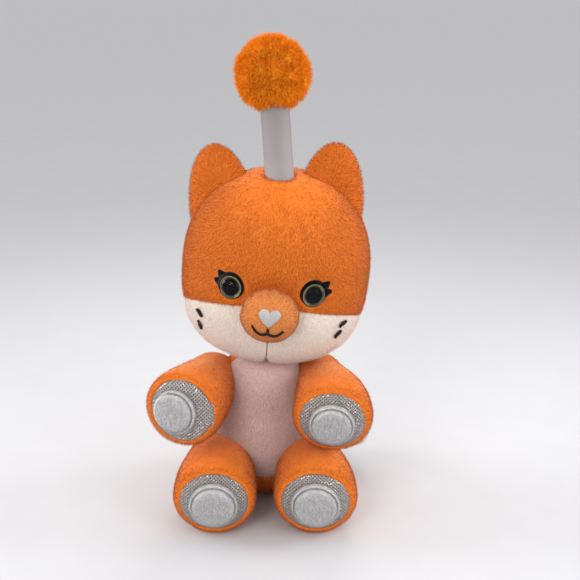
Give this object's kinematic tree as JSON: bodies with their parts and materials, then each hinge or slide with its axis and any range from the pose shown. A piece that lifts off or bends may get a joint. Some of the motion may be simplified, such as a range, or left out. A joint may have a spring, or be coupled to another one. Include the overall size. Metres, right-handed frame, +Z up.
{
  "type": "plush fox",
  "caption": "Sitting stuffed fox with a big turning head, springy arms, legs and tail, raised paw discs and a pompom on a rod in the crown.",
  "frame": {"origin": "centre of the flat seat under the torso, on the surface that the fox sits on", "axes": "+Z up, the face looks along -Y, the fox's own left is +X"},
  "size_m": [0.1183, 0.1104, 0.2443],
  "materials": {
    "orange_plush": "short pile",
    "white_plush": "short pile",
    "silver_lame": "woven silver lame with a soft sparkle",
    "white_velour": "velour",
    "white_thread": "satin stitch",
    "dark_thread": "satin stitch",
    "black_felt": "matte",
    "black_plastic": "gloss",
    "iris_paint": "metallic paint",
    "clear_plastic": "clear, polished",
    "nylon": "natural",
    "rod_plastic": "matte",
    "pompom_fur": "long pile",
    "fibrefill": "loose fibre",
    "pellets": "small pellets in a mesh bag"
  },
  "bodies": {
    "torso": {"torso_cover": "orange_plush", "tummy_panel": "white_plush", "torso_filling": "fibrefill", "pellet_bag": "pellets"},
    "head": {"head_hood": "orange_plush", "cheek_left": "white_plush", "cheek_right": "white_plush", "head_filling": "fibrefill", "ear_left": "orange_plush", "ear_right": "orange_plush", "muzzle_cover": "orange_plush", "muzzle_filling": "fibrefill", "heart_nose": "white_thread", "mouth_stitching": "dark_thread", "cheek_mark_left_upper": "dark_thread", "cheek_mark_left_lower": "dark_thread", "cheek_mark_right_upper": "dark_thread", "cheek_mark_right_lower": "dark_thread", "eye_left_felt": "black_felt", "eye_left_base": "black_plastic", "eye_left_iris": "iris_paint", "eye_left_dome": "clear_plastic", "eye_left_washer": "nylon", "eye_right_felt": "black_felt", "eye_right_base": "black_plastic", "eye_right_iris": "iris_paint", "eye_right_dome": "clear_plastic", "eye_right_washer": "nylon", "rod": "rod_plastic", "rod_flange": "nylon", "rod_plug": "nylon", "pompom": "pompom_fur"},
    "arm_left": {"arm_left_cover": "orange_plush", "arm_left_filling": "fibrefill", "arm_left_sole_pad": "silver_lame", "arm_left_paw_disc": "white_velour", "arm_left_disc_core": "nylon"},
    "arm_right": {"arm_right_cover": "orange_plush", "arm_right_filling": "fibrefill", "arm_right_sole_pad": "silver_lame", "arm_right_paw_disc": "white_velour", "arm_right_disc_core": "nylon"},
    "leg_left": {"leg_left_cover": "orange_plush", "leg_left_filling": "fibrefill", "leg_left_sole_pad": "silver_lame", "leg_left_paw_disc": "white_velour", "leg_left_disc_core": "nylon"},
    "leg_right": {"leg_right_cover": "orange_plush", "leg_right_filling": "fibrefill", "leg_right_sole_pad": "silver_lame", "leg_right_paw_disc": "white_velour", "leg_right_disc_core": "nylon"},
    "tail": {"tail_cover": "orange_plush", "tail_tip": "white_plush", "tail_filling": "fibrefill"}
  },
  "joints": [
    {"name": "head_turn", "type": "hinge", "parent": "torso", "child": "head", "pos_m": [0, 0, 0.061], "axis": [0, 0, 1], "range_deg": [-15, 15], "stiffness_Nm_per_rad": 0.06},
    {"name": "arm_left_swing", "type": "hinge", "parent": "torso", "child": "arm_left", "pos_m": [0.026, -0.003, 0.064], "axis": [0, 0, 1], "range_deg": [-5, 12], "stiffness_Nm_per_rad": 0.02},
    {"name": "arm_right_swing", "type": "hinge", "parent": "torso", "child": "arm_right", "pos_m": [-0.026, -0.003, 0.064], "axis": [0, 0, -1], "range_deg": [-5, 12], "stiffness_Nm_per_rad": 0.02},
    {"name": "leg_left_swing", "type": "hinge", "parent": "torso", "child": "leg_left", "pos_m": [0.023, -0.01, 0.0201], "axis": [0, 0, 1], "range_deg": [-2, 8], "stiffness_Nm_per_rad": 0.03},
    {"name": "leg_right_swing", "type": "hinge", "parent": "torso", "child": "leg_right", "pos_m": [-0.023, -0.01, 0.0201], "axis": [0, 0, -1], "range_deg": [-2, 8], "stiffness_Nm_per_rad": 0.03},
    {"name": "tail_swing", "type": "hinge", "parent": "torso", "child": "tail", "pos_m": [0.006, 0.025, 0.016], "axis": [0, 0, 1], "range_deg": [-8, 8], "stiffness_Nm_per_rad": 0.01}
  ]
}
